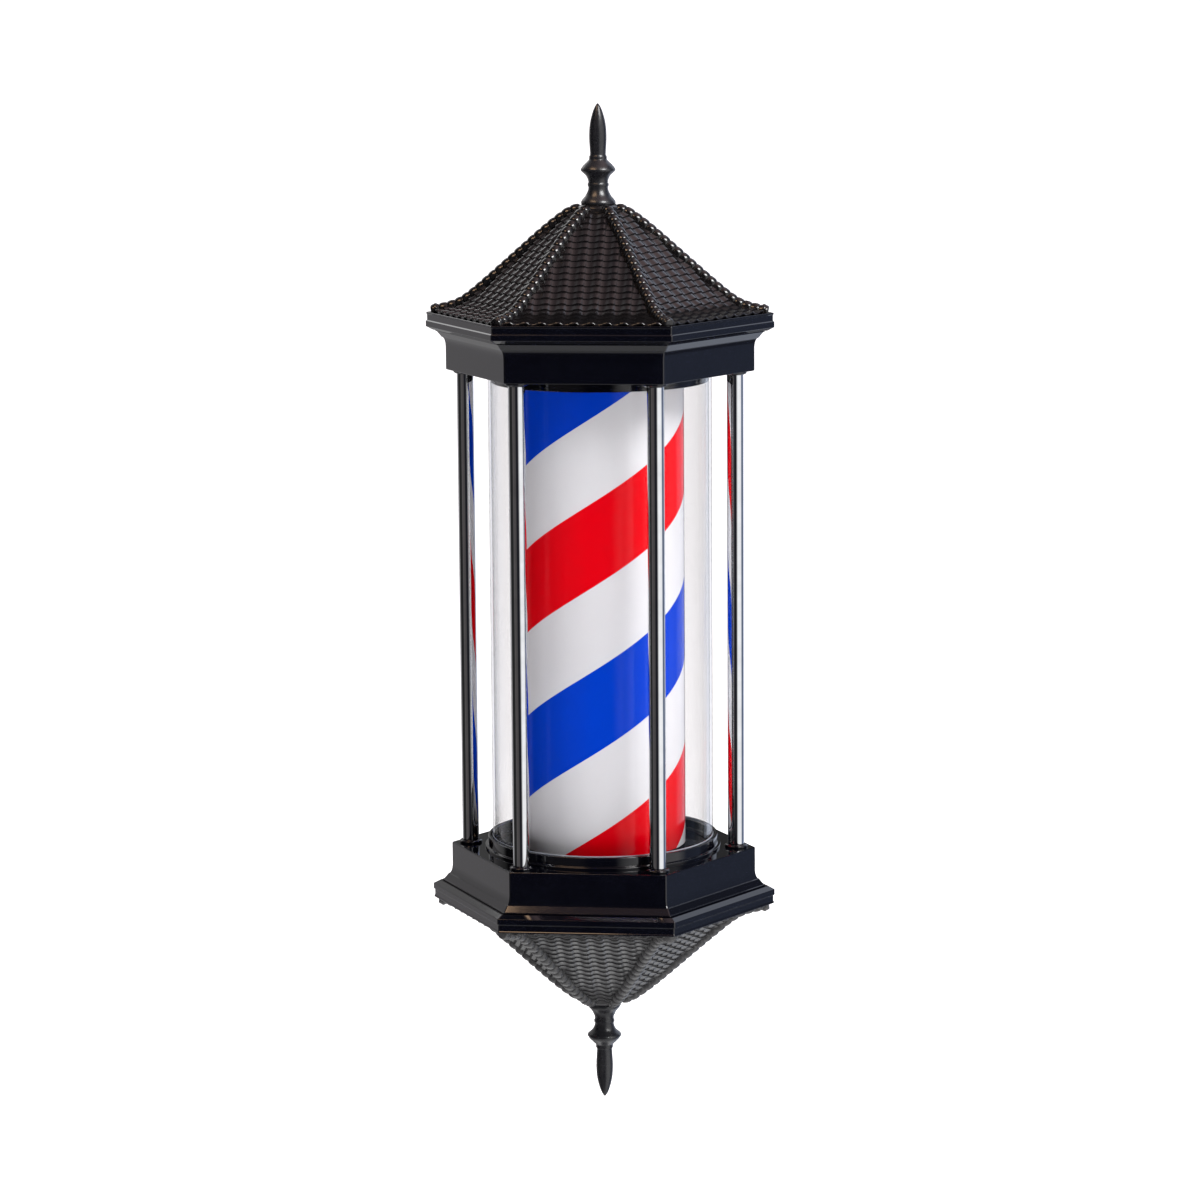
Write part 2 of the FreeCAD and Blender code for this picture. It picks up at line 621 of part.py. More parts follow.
def lower_works():
    """Bearing, pad, geared motor and terminal block under the lower deck."""
    node("lower_bearing", revolved([
        ("shaft_bore", "-deck_back"),
        ("bearing_radius", "-deck_back"),
        ("bearing_radius", "-deck_level"),
        ("bearing_flange_radius", "-deck_level"),
        ("bearing_flange_radius", "bearing_flange_thick - deck_level"),
        ("shaft_bore", "bearing_flange_thick - deck_level"),
    ]))

    def ear_plate(low, high):
        ends = [cylinder("ear_radius", low, high, y=y) for y in ("ear_reach", "-ear_reach")]
        strip = box("-ear_radius", "ear_radius", "-ear_reach", "ear_reach", low, high)
        return fuse(strip, *ends)

    pad_foot = "-deck_back - pad_thick"
    pad = fuse(cylinder("motor_radius", pad_foot, "-deck_back"), ear_plate(pad_foot, "-deck_back"))
    bearing_hole = cylinder("bearing_radius", pad_foot, "-deck_back")
    node("motor_pad", cut(pad, bearing_hole, *motor_screw_shanks()))
    body = cylinder("motor_radius", f"{pad_foot} - motor_height", pad_foot)
    cover = cylinder("0.7 * motor_radius", f"{pad_foot} - motor_height - 2", f"{pad_foot} - motor_height")
    ears = ear_plate(f"{pad_foot} - ear_thick", pad_foot)
    socket = cylinder("shaft_bore", f"{pad_foot} - motor_bore_depth", pad_foot)
    node("geared_motor", cut(fuse(body, cover, ears), socket, *motor_screw_shanks()))
    head_top = f"{pad_foot} - ear_thick"
    heads = [cylinder("bolt_head_radius - 1", f"{head_top} - bolt_head_thick", head_top, y=y)
             for y in ("ear_reach", "-ear_reach")]
    node("motor_screws", separate(*[fuse(s, h) for s, h in zip(motor_screw_shanks(), heads)]))
    block = box("-block_far", "-block_near", "-block_width / 2", "block_width / 2",
                "-deck_back - block_height", "-deck_back")
    wells = [cylinder("screw_radius", "-deck_back - block_height", "block_height / -2 - deck_back",
                      f"{side} * block_width / 4 - (block_near + block_far) / 2",
                      f"{side} * block_width / 4")
             for side in (-1, 1)]
    node("terminal_block", cut(block, *wells))


# ----------------------------------------------------------------------------------- lamp set


def stem_screw_shanks():
    return [cylinder("screw_radius", "deck_level + 1", "deck_back + stem_flange_thick",
                     f"stem_screw_circle * cos({a})", f"stem_screw_circle * sin({a})")
            for a in range(30, 360, 120)]


def lamp():
    """The stem under the upper deck, with its holder and bulb inside the drum."""
    deck_back = "deck_back"
    flange_head = f"{deck_back} + stem_flange_thick"
    stem = revolved([
        ("stem_bore", "stem_foot"),
        ("stem_radius", "stem_foot"),
        ("stem_radius", "deck_back"),
        ("stem_flange_radius", "deck_back"),
        ("stem_flange_radius", flange_head),
        ("stem_bore", flange_head),
    ])
    node("lamp_stem", cut(stem, *stem_screw_shanks()))
    heads = [cylinder("screw_head_radius", flange_head, f"{flange_head} + screw_head_thick",
                      f"stem_screw_circle * cos({a})", f"stem_screw_circle * sin({a})")
             for a in range(30, 360, 120)]
    node("stem_screws", separate(*[fuse(s, h) for s, h in zip(stem_screw_shanks(), heads)]))
    node("lamp_holder", revolved([
        ("holder_cup_radius", "holder_foot"),
        ("holder_radius", "holder_foot"),
        ("holder_radius", "holder_shoulder"),
        ("holder_neck_radius", "holder_shoulder + 4"),
        ("holder_neck_radius", "holder_head"),
        ("stem_radius", "holder_head"),
        ("stem_radius", "stem_foot"),
        ("stem_bore - 3", "stem_foot"),
        ("stem_bore - 3", "holder_roof + 4"),
        ("holder_cup_radius", "holder_roof + 4"),
    ]))
    node("bulb_cap", revolved([
        ("0", "bulb_body_level"),
        ("bulb_cap_radius", "bulb_body_level"),
        ("bulb_cap_radius", "bulb_cap_head - 3"),
        ("bulb_cap_radius / 2", "bulb_cap_head"),
        ("0", "bulb_cap_head"),
    ]))
    node("bulb_body", revolved([
        ("0", "bulb_body_foot"),
        ("0.97 * bulb_radius", "bulb_body_foot", -2.0),
        ("1.1 * bulb_cap_radius", "bulb_body_level"),
        ("0", "bulb_body_level"),
    ]))
    node("bulb_globe", revolved([
        ("0", "bulb_body_foot"),
        ("0", "bulb_foot", -12.0),
        ("0.97 * bulb_radius", "bulb_body_foot"),
    ]))


def rounded_path(corners, radius):
    """Straight runs joined by tangent arcs."""
    edges = []
    start = corners[0]
    for before, corner, after in zip(corners, corners[1:], corners[2:]):
        back = (before - corner).normalize()
        ahead = (after - corner).normalize()
        half_turn = back.getAngle(ahead) / 2
        arc_start = corner + back * (radius / math.tan(half_turn))
        arc_end = corner + ahead * (radius / math.tan(half_turn))
        centre = corner + (back + ahead).normalize() * (radius / math.sin(half_turn))
        middle = centre + (corner - centre).normalize() * radius
        edges.append(Part.LineSegment(start, arc_start).toShape())
        edges.append(Part.Arc(arc_start, middle, arc_end).toShape())
        start = arc_end
    edges.append(Part.LineSegment(start, corners[-1]).toShape())
    return Part.Wire(edges)


def lamp_lead():
    """The lead from the terminal block, up the left rod's bore and down the stem to the holder."""
    rod_x = -VALUES["rod_circle"]
    high = VALUES["lead_high"]
    low = -VALUES["lead_low"]
    corners = [
        Vector(0, 0, VALUES["lead_end"]),
        Vector(0, 0, high),
        Vector(rod_x, 0, high + 1.5),
        Vector(rod_x, 0, low),
        Vector(-VALUES["block_far"], 0, low),
    ]
    path = rounded_path(corners, VALUES["lead_bend"])
    start = Part.Wire(Part.Circle(corners[0], Vector(0, 0, 1), VALUES["lead_radius"]).toShape())
    lead = doc.addObject("Part::Feature", "LampLead")
    lead.Shape = path.makePipeShell([start], True, False)
    node("lamp_lead", lead)


# ------------------------------------------------------------------ wall brackets and controls


def wall_brackets():
    """A hat-shaped strip behind each casing, screwed to it and open to the wall on both sides."""
    screws = []
    nuts = []
    for half in HALVES:
        low, high = span(half, "bracket_low", "bracket_high")
        right = [
            ("bracket_crown", "casing_face"),
            ("bracket_crown", "wall_gap - bracket_thick"),
            ("bracket_half_width", "wall_gap - bracket_thick"),
            ("bracket_half_width", "wall_gap"),
            ("bracket_crown - bracket_thick", "wall_gap"),
            ("bracket_crown - bracket_thick", "casing_face + bracket_thick"),
        ]
        left = [(f"-({x})", y) for x, y in reversed(right)]
        level = mirrored(half, "bracket_middle")
        holes = [side_cylinder("wall_hole_radius", "wall_gap - 5", "wall_gap + 1", offset, level, 90)
                 for offset in ("wall_hole_offset", "-wall_hole_offset")]
        for offset in ("bolt_offset", "-bolt_offset"):
            holes.append(side_cylinder("bolt_radius", "casing_face - 1", "casing_face + bracket_thick + 1",
                                       offset, level, 90))
            outside = "casing_face + bracket_thick"
            shank_end = "wall_inside - bolt_nut_thick - 1"
            shank = side_cylinder("bolt_radius", shank_end, outside, offset, level, 90)
            head = side_cylinder("bolt_head_radius", outside, f"{outside} + bolt_head_thick", offset,
                                 level, 90)
            screws.append(fuse(shank, head))
            nut = side_cylinder("bolt_nut_radius", "wall_inside - bolt_nut_thick", "wall_inside", offset,
                                level, 90, SIDES)
            nuts.append(cut(nut, side_cylinder("bolt_radius", "wall_inside - bolt_nut_thick - 1",
                                               "wall_inside + 1", offset, level, 90)))
        node(half + "_bracket", cut(padded(right + left, low, high), *holes))
    node("bracket_screws", separate(*screws))
    node("bracket_nuts", separate(*nuts))


def cable_inlet():
    """A rubber grommet in the wall of the lower casing."""
    def disc(radius, near, far):
        return side_cylinder(radius, near, far, "0", "-inlet_level", INLET_FACE)

    inside = disc("grommet_flange", "wall_inside - grommet_flange_thick", "wall_inside")
    outside = disc("grommet_flange", "casing_face", "casing_face + grommet_flange_thick")
    neck = disc("grommet_neck", "wall_inside", "casing_face")
    bore = disc("grommet_bore", "wall_inside - grommet_flange_thick - 1",
                "casing_face + grommet_flange_thick + 1")
    node("cable_grommet", cut(fuse(inside, outside, neck), bore))


def switches():
    """Two small rocker switches side by side, for the lamp and for the motor."""
    face = "casing_face + bezel_thick"
    for name, offset in zip(("light", "motor"), SWITCH_OFFSETS):
        half_length = "switch_length / 2"
        body = box("casing_face - switch_depth", "casing_face", f"{offset} - {half_length}",
                   f"{offset} + {half_length}", "-switch_level - switch_height / 2",
                   "switch_height / 2 - switch_level", SWITCH_FACE)
        bezel = box("casing_face", face, f"{offset} - {half_length} - bezel_margin",
                    f"{offset} + {half_length} + bezel_margin",
                    "-switch_level - switch_height / 2 - bezel_margin",
                    "switch_height / 2 + bezel_margin - switch_level", SWITCH_FACE)
        pocket = box(f"{face} - pocket_depth", f"{face} + 1",
                     f"{offset} - rocker_length / 2 - rocker_gap",
                     f"{offset} + rocker_length / 2 + rocker_gap",
                     "-switch_level - rocker_height / 2 - rocker_gap / 2",
                     "rocker_height / 2 + rocker_gap / 2 - switch_level", SWITCH_FACE)
        pivot = turned_place(SWITCH_FACE, f"{face} - pivot_depth", offset, "-switch_level")
        reach = "(rocker_height / 2 + rocker_pin_reach + pin_gap)"
        pin_hole = cylinder("rocker_pin + pin_gap", f"-switch_level - {reach}", f"{reach} - switch_level",
                            pivot["x"], pivot["y"])
        node(name + "_switch", cut(fuse(body, bezel), pocket, pin_hole))
        node(name + "_rocker", rocker(), **pivot)


def rocker():
    """A rocker about its pivot: its two halves slope to the middle, and it is tilted to off."""
    # In its own plan, X runs along the casing's face and Y points out of it.
    end = "rocker_length / 2 - 0.4"
    body = padded([
        ("-rocker_length / 4", "-2"),
        ("rocker_length / 4", "-2"),
        (end, "0"),
        (end, "rocker_rise + pivot_depth"),
        ("0", "pivot_depth + 0.5"),
        (f"-({end})", "rocker_rise + pivot_depth"),
        (f"-({end})", "0"),
    ], "-rocker_height / 2", "rocker_height / 2")
    reach = "(rocker_height / 2 + rocker_pin_reach)"
    whole = fuse(body, cylinder("rocker_pin", f"-{reach}", reach))
    whole.Placement = Placement(Vector(), Rotation(Vector(0, 0, 1), SWITCH_FACE - 90 + ROCKER_TILT))
    return whole


# ------------------------------------------------------------------------------------- assembly

for each in HALVES:
    casing(each)
    roof(each)
    finial(each)
bridges_and_studs()
rods()
outer_tube()
drum()
lower_works()
lamp()
lamp_lead()
wall_brackets()
cable_inlet()
switches()
doc.recompute()

for item in doc.Objects:
    if {"Invalid", "Error"} & set(item.State):
        raise RuntimeError(f"{item.Name} failed: {item.State}")
for item in nodes:
    if item.Shape.isNull() or not item.Shape.isValid() or not item.Shape.Solids:
        raise RuntimeError(f"{item.Label} has no valid shape")

os.makedirs("parts", exist_ok=True)
for item in nodes:
    item.Shape.exportStep(f"parts/{item.Label}.step")
print(f"{len(nodes)} sub-parts written")
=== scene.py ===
import json
import math

import bpy
from mathutils import Matrix, Vector


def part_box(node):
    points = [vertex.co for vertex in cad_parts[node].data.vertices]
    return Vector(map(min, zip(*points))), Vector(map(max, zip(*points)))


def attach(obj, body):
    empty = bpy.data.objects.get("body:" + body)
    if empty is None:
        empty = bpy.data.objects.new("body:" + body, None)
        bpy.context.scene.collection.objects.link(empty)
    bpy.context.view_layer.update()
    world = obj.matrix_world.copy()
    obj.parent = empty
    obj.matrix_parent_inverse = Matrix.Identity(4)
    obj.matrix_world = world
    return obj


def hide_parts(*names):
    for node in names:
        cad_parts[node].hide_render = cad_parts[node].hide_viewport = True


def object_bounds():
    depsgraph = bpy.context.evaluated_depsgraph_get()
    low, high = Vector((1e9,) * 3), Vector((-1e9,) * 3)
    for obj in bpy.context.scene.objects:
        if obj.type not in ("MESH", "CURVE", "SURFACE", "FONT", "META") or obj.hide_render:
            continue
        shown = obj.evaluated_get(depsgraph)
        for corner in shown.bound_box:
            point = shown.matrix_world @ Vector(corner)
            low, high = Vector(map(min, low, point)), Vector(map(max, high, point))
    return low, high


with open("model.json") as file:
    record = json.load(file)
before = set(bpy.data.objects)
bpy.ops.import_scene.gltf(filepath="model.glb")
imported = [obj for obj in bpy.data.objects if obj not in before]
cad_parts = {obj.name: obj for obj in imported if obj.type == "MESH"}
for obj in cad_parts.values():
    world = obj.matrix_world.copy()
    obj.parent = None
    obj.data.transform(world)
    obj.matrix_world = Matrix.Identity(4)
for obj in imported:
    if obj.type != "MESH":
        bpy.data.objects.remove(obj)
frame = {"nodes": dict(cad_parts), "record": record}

cad_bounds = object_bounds()

# Barber pole light. Shapes are drawn in millimetres about the pole's own vertical axis, with level
# 0 at its middle, and put() turns them into metres in the frame. An outline is a list of (radius,
# level) points; a third value is that corner's own rounding. The lower half of the light is the
# upper half upside down, so both are made from the upper half's outlines.
MM = 0.001
tube_low, tube_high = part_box("outer_tube")
AXIS = Vector(((tube_low[0] + tube_high[0]) / 2, (tube_low[1] + tube_high[1]) / 2, 0))


def top_mm(node):
    """The highest level of a CAD node, in millimetres."""
    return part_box(node)[1][2] / MM


def bottom_mm(node):
    """The lowest level of a CAD node, in millimetres."""
    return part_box(node)[0][2] / MM


def radius_mm(node):
    """Half of a round CAD node's greater width."""
    low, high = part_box(node)
    return max(high[0] - low[0], high[1] - low[1]) / 2 / MM


DECK = bottom_mm("upper_casing")
SEAM = top_mm("upper_casing")
BOSS = top_mm("upper_roof")
TIP = top_mm("top_finial")
COS30 = math.cos(math.radians(30))
TAN30 = math.tan(math.radians(30))
RIM_R = radius_mm("upper_roof")
CASING_R = 111.0
CASING_WALL = 4.0
DECK_HOLE_R = 13.0
HALVES = {"upper": 1, "lower": -1}

# --------------------------------------------------------------------------------- materials


class Nodes:
    """A material's node tree, with short calls to add to it."""

    def __init__(self, name):
        self.material = bpy.data.materials.new(name)
        self.material.use_nodes = True
        self.tree = self.material.node_tree
        self.shader = self.tree.nodes["Principled BSDF"]
        self.output = self.tree.nodes["Material Output"]

    def add(self, kind, **values):
        node = self.tree.nodes.new(kind)
        for key, value in values.items():
            setattr(node, key, value)
        return node

    def link(self, out, into):
        self.tree.links.new(out, into)

    def place(self):
        """Each point's own place on its piece."""
        return self.add("ShaderNodeTexCoord").outputs["Object"]

    def noise(self, scale, detail=3.0, roughness=0.5, stretch=None):
        node = self.add("ShaderNodeTexNoise")
        node.inputs["Scale"].default_value = scale
        node.inputs["Detail"].default_value = detail
        node.inputs["Roughness"].default_value = roughness
        place = self.place()
        if stretch:
            mapping = self.add("ShaderNodeMapping")
            mapping.inputs["Scale"].default_value = stretch
            self.link(place, mapping.inputs["Vector"])
            place = mapping.outputs["Vector"]
        self.link(place, node.inputs["Vector"])
        return node.outputs["Fac"]

    def math(self, operation, first, second=None, third=None):
        node = self.add("ShaderNodeMath", operation=operation)
        for socket, value in zip(node.inputs, (first, second, third)):
            if isinstance(value, (int, float)):
                socket.default_value = value
            elif value is not None:
                self.link(value, socket)
        return node.outputs[0]

    def spread(self, value, low, high, from_low=0.3, from_high=0.7):
        """Stretches a noise to run from low to high."""
        node = self.add("ShaderNodeMapRange")
        limits = {"From Min": from_low, "From Max": from_high, "To Min": low, "To Max": high}
        for name, number in limits.items():
            node.inputs[name].default_value = number
        self.link(value, node.inputs["Value"])
        return node.outputs["Result"]

    def blend(self, factor, first, second):
        """Mixes two fixed colours."""
        node = self.add("ShaderNodeMix", data_type="RGBA")
        sockets = {s.identifier: s for s in node.inputs}
        sockets["A_Color"].default_value = (*first, 1)
        sockets["B_Color"].default_value = (*second, 1)
        self.link(factor, sockets["Factor_Float"])
        return next(s for s in node.outputs if s.identifier == "Result_Color")

    def bump(self, height, strength, distance):
        """Lets a height disturb the shader's surface by up to a distance in metres."""
        node = self.add("ShaderNodeBump")
        node.inputs["Strength"].default_value = strength
        node.inputs["Distance"].default_value = distance
        self.link(height, node.inputs["Height"])
        self.link(node.outputs["Normal"], self.shader.inputs["Normal"])

    def fixed(self, **values):
        """Sets inputs of the shader that are the same everywhere."""
        for name, value in values.items():
            self.shader.inputs[name.replace("_", " ")].default_value = value


def plastic(name, colour, second, rough_low, rough_high, ripple=0.06, grain=900.0):
    """Moulded plastic: faint colour change, uneven gloss and the slow ripple of a moulding."""
    n = Nodes(name)
    n.link(n.blend(n.spread(n.noise(55, 4), 0, 1), colour, second), n.shader.inputs["Base Color"])
    n.link(n.spread(n.noise(180, 5, 0.6), rough_low, rough_high), n.shader.inputs["Roughness"])
    height = n.math("ADD", n.noise(26, 1), n.math("MULTIPLY", n.noise(grain, 2), 0.05))
    n.bump(height, 1.0, ripple * MM)
    n.fixed(IOR=1.5)
    return n.material


def metal(name, colour, second, rough_low, rough_high, brushed=None):
    """Metal with uneven gloss, and brush lines where the stretch is given."""
    n = Nodes(name)
    n.link(n.blend(n.spread(n.noise(70, 4), 0, 1), colour, second), n.shader.inputs["Base Color"])
    n.fixed(Metallic=1.0)
    lines = n.noise(500, 4, 0.6, brushed or (1, 1, 1))
    n.link(n.spread(lines, rough_low, rough_high), n.shader.inputs["Roughness"])
    n.bump(lines, 0.1, 0.004 * MM)
    return n.material


def striped(name):
    """Glossy film with helical stripes: red, white, blue and white, each a quarter of the lead."""
    lead, red_foot = 240.0 * MM, 24.9 * MM
    n = Nodes(name)
    parts = n.add("ShaderNodeSeparateXYZ")
    n.link(n.place(), parts.inputs[0])
    angle = n.math("ARCTAN2", n.math("SUBTRACT", parts.outputs[1], AXIS.y),
                   n.math("SUBTRACT", parts.outputs[0], AXIS.x))
    turn = n.math("MULTIPLY_ADD", angle, 1 / math.tau, 0.25)
    climb = n.math("DIVIDE", n.math("SUBTRACT", parts.outputs[2], red_foot), lead)
    phase = n.math("FRACT", n.math("SUBTRACT", climb, turn))
    ramp = n.add("ShaderNodeValToRGB")
    ramp.color_ramp.interpolation = "CONSTANT"
    white = (0.76, 0.76, 0.79, 1)
    stops = ((0.0, (0.80, 0.0, 0.006, 1)), (0.25, white), (0.5, (0.0, 0.048, 0.60, 1)), (0.75, white))
    for i, (position, colour) in enumerate(stops):
        element = ramp.color_ramp.elements[i] if i < 2 else ramp.color_ramp.elements.new(position)
        element.position = position
        element.color = colour
    n.link(phase, ramp.inputs["Fac"])
    worn = n.add("ShaderNodeMix", data_type="RGBA", blend_type="MULTIPLY")
    sockets = {s.identifier: s for s in worn.inputs}
    n.link(n.spread(n.noise(40, 5, 0.6, (1, 1, 0.25)), 0.0, 0.10), sockets["Factor_Float"])
    n.link(ramp.outputs["Color"], sockets["A_Color"])
    sockets["B_Color"].default_value = (0.80, 0.80, 0.82, 1)
    n.link(next(s for s in worn.outputs if s.identifier == "Result_Color"), n.shader.inputs["Base Color"])
    n.link(n.spread(n.noise(120, 4, 0.6), 0.06, 0.11), n.shader.inputs["Roughness"])
    n.bump(n.noise(22, 2, 0.5, (1, 1, 0.15)), 1.0, 0.05 * MM)
    n.fixed(IOR=1.48, Specular_IOR_Level=0.14)
    return n.material


def clear(name):
    """Clear acrylic, seen through without bending, with a gloss that grows at its edges."""
    tint, dust, roughness = 0.912, 0.015, 0.02
    gloss_ahead, gloss_edge = 0.008, 0.6
    n = Nodes(name)
    n.tree.nodes.remove(n.shader)
    facing = n.add("ShaderNodeLayerWeight").outputs["Facing"]
    gloss_share = n.math("MULTIPLY_ADD", n.math("POWER", facing, 4.0), gloss_edge, gloss_ahead)
    through = n.add("ShaderNodeBsdfTransparent")
    dusty = n.blend(n.spread(n.noise(30, 4, 0.6, (1, 1, 0.3)), 0, 1), (tint,) * 3, (tint - dust,) * 3)
    n.link(dusty, through.inputs["Color"])
    glossy = n.add("ShaderNodeBsdfGlossy")
    glossy.inputs["Color"].default_value = (1, 1, 1, 1)
    n.link(n.spread(n.noise(90, 3), roughness, roughness + 0.03), glossy.inputs["Roughness"])
    mix = n.add("ShaderNodeMixShader")
    n.link(gloss_share, mix.inputs[0])
    n.link(through.outputs[0], mix.inputs[1])
    n.link(glossy.outputs[0], mix.inputs[2])
    n.link(mix.outputs[0], n.output.inputs["Surface"])
    return n.material


BLACK = plastic("black_gloss", (0.0010, 0.0011, 0.0026), (0.0015, 0.0017, 0.0036), 0.05, 0.08, 0.006)
ROOF = plastic("roof_gloss", (0.0062, 0.0058, 0.0066), (0.0084, 0.0068, 0.0070), 0.17, 0.25, 0.03, 600)
# A lighter copy of the roof plastic for the lower roof, which is the same moulding as the upper one: its
# raised base colour is painted light, standing in for the light it gets from the pale floor below.
LOWER_ROOF_PAINTED_LIGHT = plastic("lower_roof_painted_light", (0.030, 0.030, 0.031), (0.042, 0.042, 0.043), 0.26, 0.36, 0.03, 600)
RIDGE = plastic("ridge_gloss", (0.0036, 0.0034, 0.0040), (0.0060, 0.0050, 0.0050), 0.10, 0.15, 0.02, 600)
FINIAL = plastic("finial_satin", (0.006, 0.006, 0.008), (0.011, 0.011, 0.013), 0.24, 0.34, 0.02)
CHROME = metal("chrome", (0.70, 0.71, 0.73), (0.62, 0.63, 0.65), 0.03, 0.07)
CLEAR = clear("clear_acrylic")
# A light blue-grey opaque plastic for the clear tube's foot edge: a painted highlight, standing in for the
# thin light line along the tube's edge.
TUBE_EDGE_HIGHLIGHT = plastic("tube_edge_painted_highlight", (0.30, 0.32, 0.36), (0.22, 0.24, 0.28), 0.15, 0.3, 0.02)
STRIPES = striped("striped_film")
WHITE = plastic("white_moulding", (0.74, 0.74, 0.72), (0.68, 0.67, 0.64), 0.35, 0.5, 0.02)
GLAZE = plastic("white_glaze", (0.80, 0.79, 0.75), (0.74, 0.72, 0.67), 0.10, 0.2, 0.05)
OPAL = plastic("opal_glass", (0.88, 0.88, 0.86), (0.83, 0.82, 0.79), 0.15, 0.25, 0.02)
RUBBER = plastic("black_rubber", (0.012, 0.012, 0.012), (0.02, 0.02, 0.019), 0.55, 0.75, 0.04)
ZINC = metal("zinc_plate", (0.58, 0.58, 0.57), (0.42, 0.43, 0.45), 0.25, 0.45, (1, 1, 6))
BRONZE = metal("sintered_bronze", (0.42, 0.24, 0.10), (0.30, 0.17, 0.08), 0.35, 0.55)
PAINTED = plastic("black_powder_coat", (0.010, 0.010, 0.011), (0.018, 0.018, 0.018), 0.42, 0.6, 0.08, 2500)
SWITCH = plastic("switch_black", (0.008, 0.008, 0.009), (0.014, 0.014, 0.014), 0.22, 0.36, 0.02)
SHEATH = plastic("cable_sheath", (0.03, 0.03, 0.03), (0.045, 0.045, 0.043), 0.4, 0.55, 0.03)
SLOT_LOOKS = {
    "black_plastic": BLACK, "roof_plastic": ROOF, "finial_black": FINIAL, "chrome": CHROME,
    "clear_acrylic": CLEAR, "striped_acrylic": STRIPES, "white_plastic": WHITE,
    "porcelain_white": GLAZE, "opal_glass": OPAL, "black_rubber": RUBBER, "zinc_steel": ZINC,
    "bronze": BRONZE, "black_steel": PAINTED, "switch_black": SWITCH, "cable_sheath": SHEATH,
}
for part in frame["record"]["subparts"]:
    for surface in frame["nodes"][part["node"]].material_slots:
        surface.link = "OBJECT"
        surface.material = SLOT_LOOKS[part["material_slot"]]

# ------------------------------------------------------------------------------ mesh builders


def put(name, points, faces, look, body, slot, replaced=(), sharp=32):
    """A piece from points in millimetres about the pole's axis, riding on its body."""
    mesh = bpy.data.meshes.new(name)
    mesh.from_pydata([Vector(p) * MM + AXIS for p in points], [], faces)
    mesh.validate()
    piece = bpy.data.objects.new(name, mesh)
    bpy.context.scene.collection.objects.link(piece)
    mesh.materials.append(look)
    mesh.shade_smooth()
    mesh.set_sharp_from_angle(angle=math.radians(sharp))
    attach(piece, body)
    if replaced:
        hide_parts(*replaced)
    return piece


def keep_flats(piece):
    """Shades flat faces flat beside their rounded edges."""
    modifier = piece.modifiers.new("Flats", "WEIGHTED_NORMAL")
    modifier.keep_sharp = True
    return piece


def join(*shapes):
    """Several (points, faces) shapes as one."""
    points, faces = [], []
    for more_points, more_faces in shapes:
        start = len(points)
        points += list(more_points)
        faces += [tuple(i + start for i in face) for face in more_faces]
    return points, faces


def moved(shape, x, y):
    """The shape, moved sideways."""
    points, faces = shape
    return [(px + x, py + y, pz) for px, py, pz in points], faces


def mirrored(shape, sign):
    """The shape itself, or its mirror image in the middle plane where sign is -1."""
    points, faces = shape
    if sign > 0:
        return shape
    return [(x, y, -z) for x, y, z in points], [tuple(reversed(face)) for face in faces]


def rounded(outline, radius, steps=3):
    """A closed outline with its corners rounded; a corner with a third value has its own radius."""
    result = []
    count = len(outline)
    for i, corner in enumerate(outline):
        own = corner[2] if len(corner) > 2 else radius
        here = Vector(corner[:2])
        back = Vector(outline[i - 1][:2]) - here
        ahead = Vector(outline[(i + 1) % count][:2]) - here
        if own <= 0 or back.length < 1e-6 or ahead.length < 1e-6:
            result.append(tuple(here))
            continue
        turn = back.angle(ahead)
        if turn > math.radians(172):
            result.append(tuple(here))
            continue
        reach = min(own / math.tan(turn / 2), 0.45 * back.length, 0.45 * ahead.length)
        start = here + back.normalized() * reach
        end = here + ahead.normalized() * reach
        for k in range(steps + 1):
            t = k / steps
            result.append(tuple(start * (1 - t) ** 2 + here * 2 * t * (1 - t) + end * t * t))
    return result


def lathe(outline, segments):
    """A closed outline turned about the axis; a point of radius 0 closes the end."""
    points, rings = [], []
    for r, z in outline:
        if r < 1e-6:
            rings.append([len(points)] * segments)
            points.append((0.0, 0.0, z))
            continue
        rings.append(list(range(len(points), len(points) + segments)))
        for k in range(segments):
            a = math.tau * k / segments
            points.append((r * math.cos(a), r * math.sin(a), z))
    return points, ring_faces(rings)


def ring_faces(rings, closed=True):
    """Faces between rings of equal count; the last ring meets the first where closed."""
    faces = []
    count = len(rings[0])
    last = len(rings) if closed else len(rings) - 1
    for i in range(last):
        low, high = rings[i], rings[(i + 1) % len(rings)]
        for k in range(count):
            m = (k + 1) % count
            face = []
            for index in (low[k], low[m], high[m], high[k]):
                if index not in face:
                    face.append(index)
            if len(face) > 2:
                faces.append(tuple(face))
    return faces


def hexagon(radius, level, corner, steps=4):
    """A hexagon by its centre-to-corner radius, with rounded corners."""
    corner = min(corner, 0.6 * radius)
    points = []
    for k in range(6):
        heading = math.radians(60 * k)
        centre = radius - corner / COS30
        for j in range(steps + 1):
            a = heading + math.radians(-30 + 60 * j / steps)
            x = centre * math.cos(heading) + corner * math.cos(a)
            y = centre * math.sin(heading) + corner * math.sin(a)
            points.append((x, y, level))
    return points


def hex_ring(outline, corner=1.6):
    """A closed outline swept round a hexagon, its radius being from centre to corner."""
    points, rings = [], []
    for r, z in outline:
        ring = hexagon(r, z, corner)
        rings.append(list(range(len(points), len(points) + len(ring))))
        points += ring
    return points, ring_faces(rings)


def curve_through(controls, per_span=12):
    """A smooth line through control points."""
    pts = [Vector(c) for c in controls]
    ends = [pts[0] * 2 - pts[1]] + pts + [pts[-1] * 2 - pts[-2]]
    line = []
    for i in range(1, len(ends) - 2):
        a, b, c, d = ends[i - 1:i + 3]
        for k in range(per_span):
            t = k / per_span
            line.append(0.5 * (2 * b + (c - a) * t + (2 * a - 5 * b + 4 * c - d) * t * t
                               + (3 * b - 3 * c + d - a) * t ** 3))
    line.append(pts[-1])
    return line


